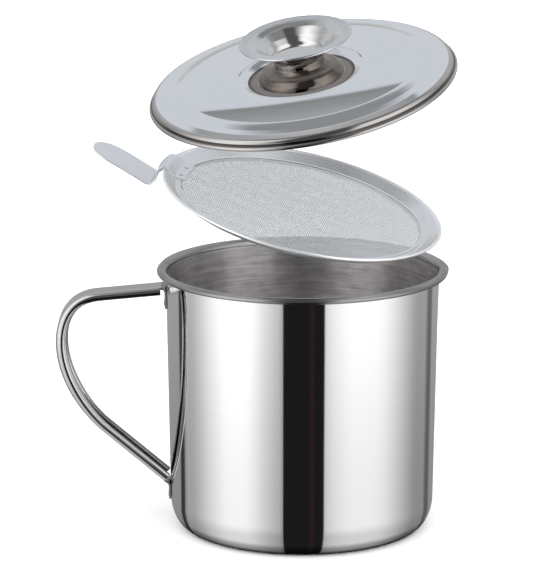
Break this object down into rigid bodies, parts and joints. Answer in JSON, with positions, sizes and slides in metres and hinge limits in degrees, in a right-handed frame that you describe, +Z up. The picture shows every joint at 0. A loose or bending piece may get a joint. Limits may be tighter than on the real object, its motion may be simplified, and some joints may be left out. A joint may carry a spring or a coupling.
{
  "type": "bacon grease container",
  "caption": "Cylindrical steel mug with a strip handle and rolled lip, a drop-in round mesh strainer with a lifting tab, and a flat cap lid with a dished knob.",
  "frame": {"origin": "centre of the mug's flat base, on the surface it stands on", "axes": "+Z up along the mug's axis; the handle points to -X; the mug's mirror plane is XZ; the picture looks along +Y"},
  "size_m": [0.1895, 0.1518, 0.2461],
  "materials": {
    "mirror_steel": "mirror polished stainless steel",
    "satin_steel": "satin stainless steel",
    "mesh_steel": "fine plain-weave stainless wire mesh"
  },
  "bodies": {
    "mug": {"pot_body": "mirror_steel", "handle": "mirror_steel", "handle_welds": "satin_steel"},
    "strainer": {"strainer_rim": "satin_steel", "strainer_mesh": "mesh_steel", "mesh_ring": "satin_steel", "strainer_tab": "satin_steel", "tab_welds": "satin_steel"},
    "lid": {"lid_shell": "mirror_steel", "knob_base": "mirror_steel", "knob_dish": "mirror_steel", "knob_stud": "satin_steel", "knob_screw": "satin_steel", "knob_washer": "satin_steel"}
  },
  "joints": [
    {"name": "strainer_lift", "type": "hinge", "parent": "mug", "child": "strainer", "pos_m": [0.0921, -0.0687, 0.143], "axis": [0.5983, 0.8013, 0], "range_deg": [-15.2, 0]},
    {"name": "lid_lift", "type": "hinge", "parent": "strainer", "child": "lid", "pos_m": [-0.15696, -0.02913, 0.18251], "axis": [0.1532, -0.9696, -0.191], "range_deg": [-21.5, 0]}
  ]
}
